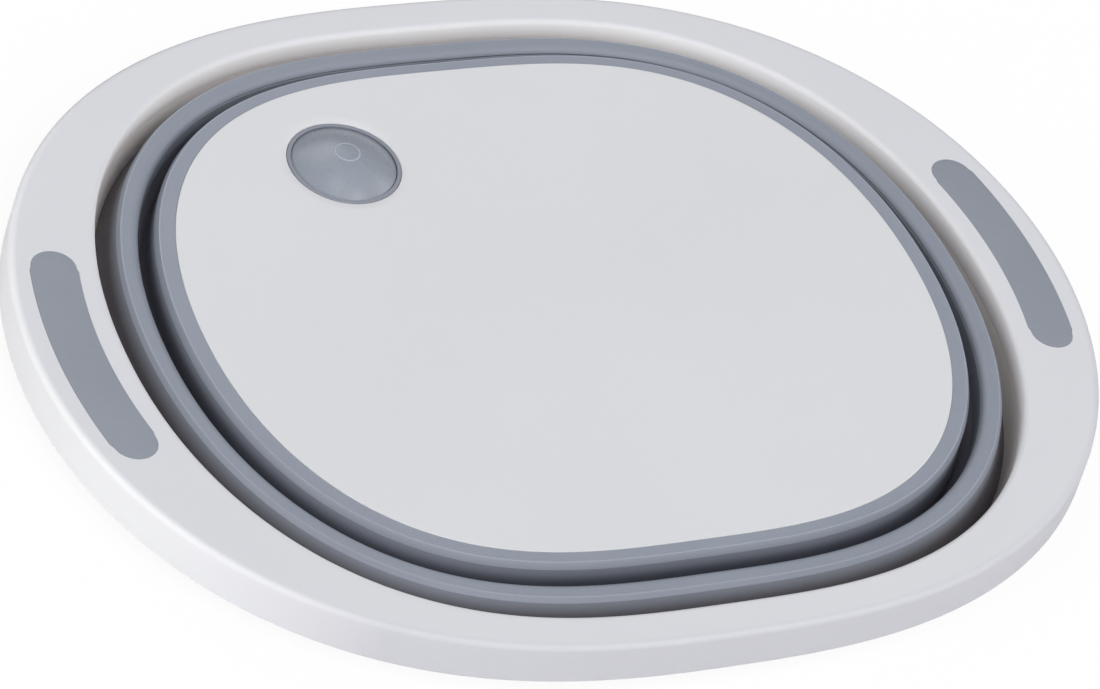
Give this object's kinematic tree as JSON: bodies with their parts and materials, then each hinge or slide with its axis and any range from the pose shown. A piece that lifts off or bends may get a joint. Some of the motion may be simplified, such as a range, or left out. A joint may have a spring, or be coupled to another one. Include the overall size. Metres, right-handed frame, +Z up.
{
  "type": "collapsible wash basin",
  "caption": "Oval wash basin that folds flat: white rim frame with grips, soft zigzag wall, rigid floor that doubles as a cutting board, pull-out drain plug.",
  "frame": {"origin": "on the table under the middle of the basin, at the bottom centre of its box when folded", "axes": "+X along the length, towards the right-hand grip; +Y across, towards the side with the drain; +Z up"},
  "size_m": [0.38, 0.3052, 0.0277],
  "materials": {
    "white_plastic": "satin",
    "grey_rubber": "satin",
    "plug_rubber": "satin",
    "foot_rubber": "matte"
  },
  "bodies": {
    "base": {"cutting_board": "white_plastic", "board_border": "grey_rubber", "foot_front_left": "foot_rubber", "foot_front_right": "foot_rubber", "foot_back_left": "foot_rubber", "foot_back_right": "foot_rubber"},
    "middle_wall": {"middle_band": "grey_rubber", "lower_web": "grey_rubber"},
    "rim": {"rim_frame": "white_plastic", "grip_left": "grey_rubber", "grip_right": "grey_rubber", "rim_bead": "grey_rubber", "upper_web": "grey_rubber"},
    "plug": {"plug_cap": "plug_rubber", "plug_seal": "plug_rubber", "plug_core": "white_plastic"}
  },
  "joints": [
    {"name": "lower_fold", "type": "slide", "parent": "base", "child": "middle_wall", "axis": [0, 0, 1], "range_m": [0, 0.0338], "deforming": ["lower_web"]},
    {"name": "upper_fold", "type": "slide", "parent": "middle_wall", "child": "rim", "axis": [0, 0, 1], "range_m": [0, 0.0292], "deforming": ["upper_web"]},
    {"name": "plug_lift", "type": "slide", "parent": "base", "child": "plug", "axis": [0, 0, 1], "range_m": [0, 0.03]}
  ]
}
